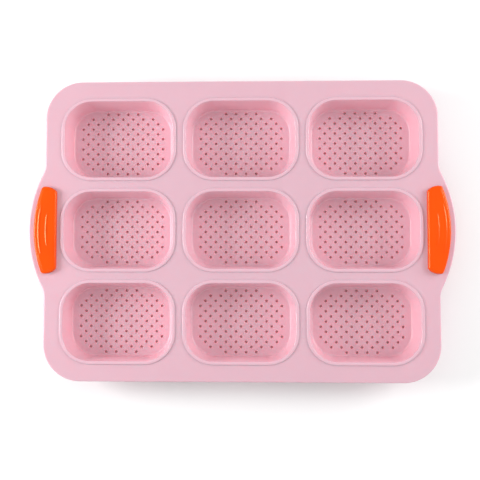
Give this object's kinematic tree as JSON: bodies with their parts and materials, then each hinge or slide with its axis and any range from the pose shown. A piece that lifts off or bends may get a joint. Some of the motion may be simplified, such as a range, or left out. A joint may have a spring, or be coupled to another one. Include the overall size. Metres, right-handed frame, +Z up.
{
  "type": "perforated silicone loaf mould tray",
  "caption": "Rectangular silicone mould tray with a grid of rounded loaf cups, perforated floors, raised mouth beads, a wire-stiffened rim and two contrasting end grips.",
  "frame": {"origin": "centre of the tray's footprint, on the surface it stands on", "axes": "+X along the tray's length, from the left grip to the right grip; +Y across the tray, towards its back edge; +Z up, out of the cups' mouths"},
  "size_m": [0.346, 0.2444, 0.0329],
  "materials": {
    "pink_silicone": "satin moulded silicone",
    "orange_silicone": "semi-gloss moulded silicone",
    "steel_wire": "bare drawn steel wire"
  },
  "bodies": {
    "root": {"tray_deck": "pink_silicone", "rim_wire": "steel_wire", "cup_wall_back_left": "pink_silicone", "cup_wall_back_centre": "pink_silicone", "cup_wall_back_right": "pink_silicone", "cup_wall_middle_left": "pink_silicone", "cup_wall_middle_centre": "pink_silicone", "cup_wall_middle_right": "pink_silicone", "cup_wall_front_left": "pink_silicone", "cup_wall_front_centre": "pink_silicone", "cup_wall_front_right": "pink_silicone", "cup_base_back_left": "pink_silicone", "cup_base_back_centre": "pink_silicone", "cup_base_back_right": "pink_silicone", "cup_base_middle_left": "pink_silicone", "cup_base_middle_centre": "pink_silicone", "cup_base_middle_right": "pink_silicone", "cup_base_front_left": "pink_silicone", "cup_base_front_centre": "pink_silicone", "cup_base_front_right": "pink_silicone", "grip_left": "orange_silicone", "grip_right": "orange_silicone"}
  },
  "joints": []
}
